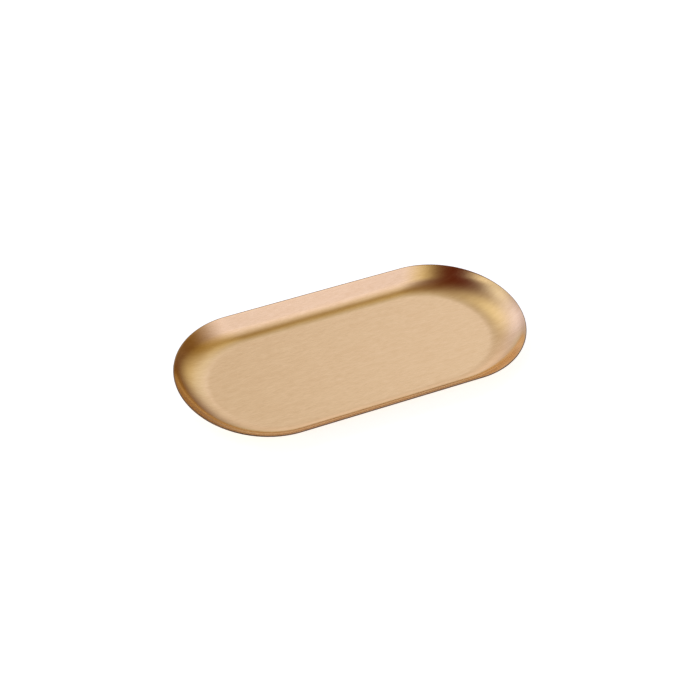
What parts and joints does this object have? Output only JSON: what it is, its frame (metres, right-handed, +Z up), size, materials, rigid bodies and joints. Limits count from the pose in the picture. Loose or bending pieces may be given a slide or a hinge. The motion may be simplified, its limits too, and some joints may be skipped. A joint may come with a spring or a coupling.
{
  "type": "metal tray",
  "caption": "Long oval desk tray pressed from one sheet of brushed gold metal, with a flat floor and a low wall that leans outwards and widens at the ends.",
  "frame": {"origin": "middle of the underside of the floor, on the surface that the tray stands on", "axes": "+X along the tray's length, +Y across it, +Z up"},
  "size_m": [0.24, 0.112, 0.012],
  "materials": {
    "brushed_gold": "warm gold coating over steel brushed along the tray's length"
  },
  "bodies": {
    "root": {"pressed_tray": "brushed_gold"}
  },
  "joints": []
}
